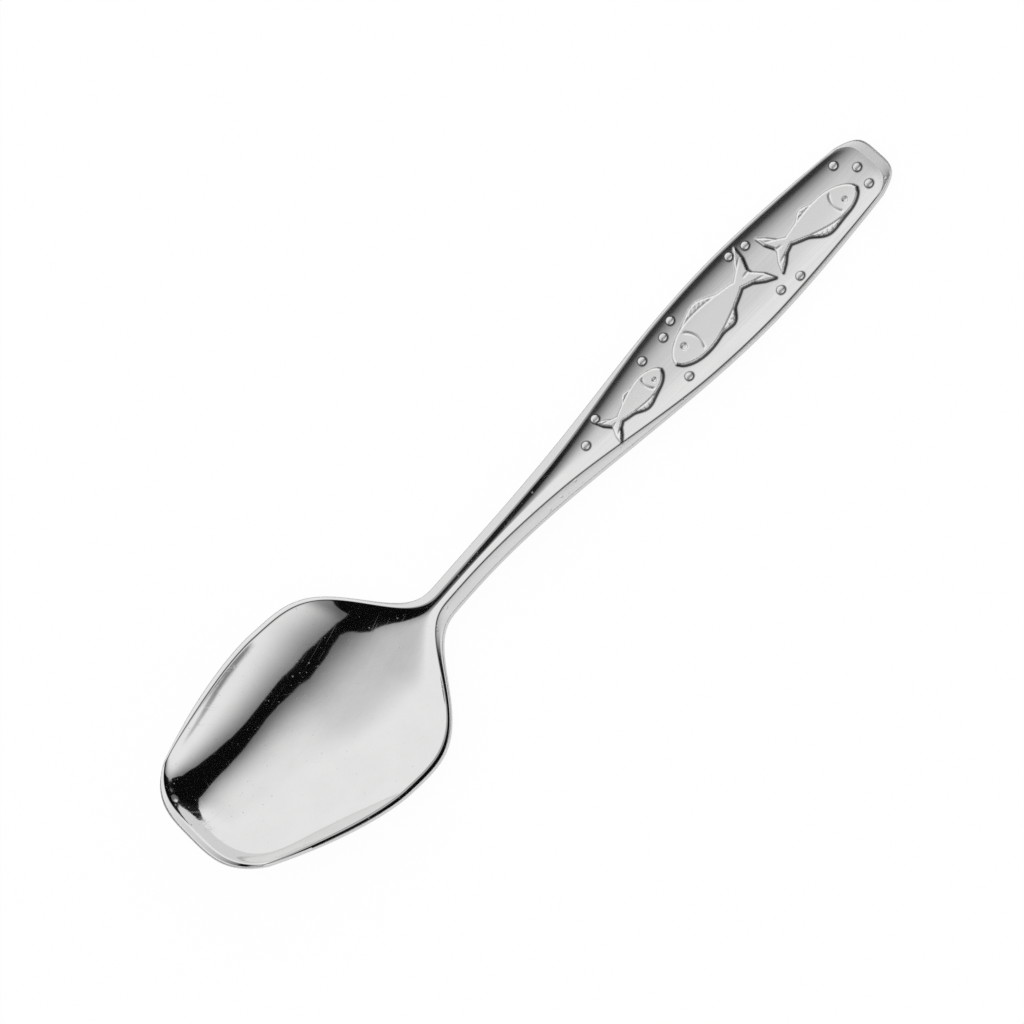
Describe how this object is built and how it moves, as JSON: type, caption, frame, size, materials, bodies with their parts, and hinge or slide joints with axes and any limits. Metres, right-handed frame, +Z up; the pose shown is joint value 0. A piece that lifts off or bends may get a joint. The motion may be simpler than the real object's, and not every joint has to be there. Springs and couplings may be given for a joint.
{
  "type": "child spoon",
  "caption": "Small metal spoon with a broad blunt-tipped bowl, a narrow neck and a dished handle with bevelled edges and a low relief of fish and bubbles.",
  "frame": {"origin": "middle of the spoon's length and width, on the table that it rests on", "axes": "+X along the spoon from the bowl to the handle's end, +Z up out of the bowl, the spoon being symmetric across Y apart from its relief"},
  "size_m": [0.15, 0.0372, 0.0122],
  "materials": {
    "metal": "polished, with fine scratches in the bowl and a brushed, darkened ground around the handle's relief"
  },
  "bodies": {
    "root": {"spoon": "metal"}
  },
  "joints": []
}
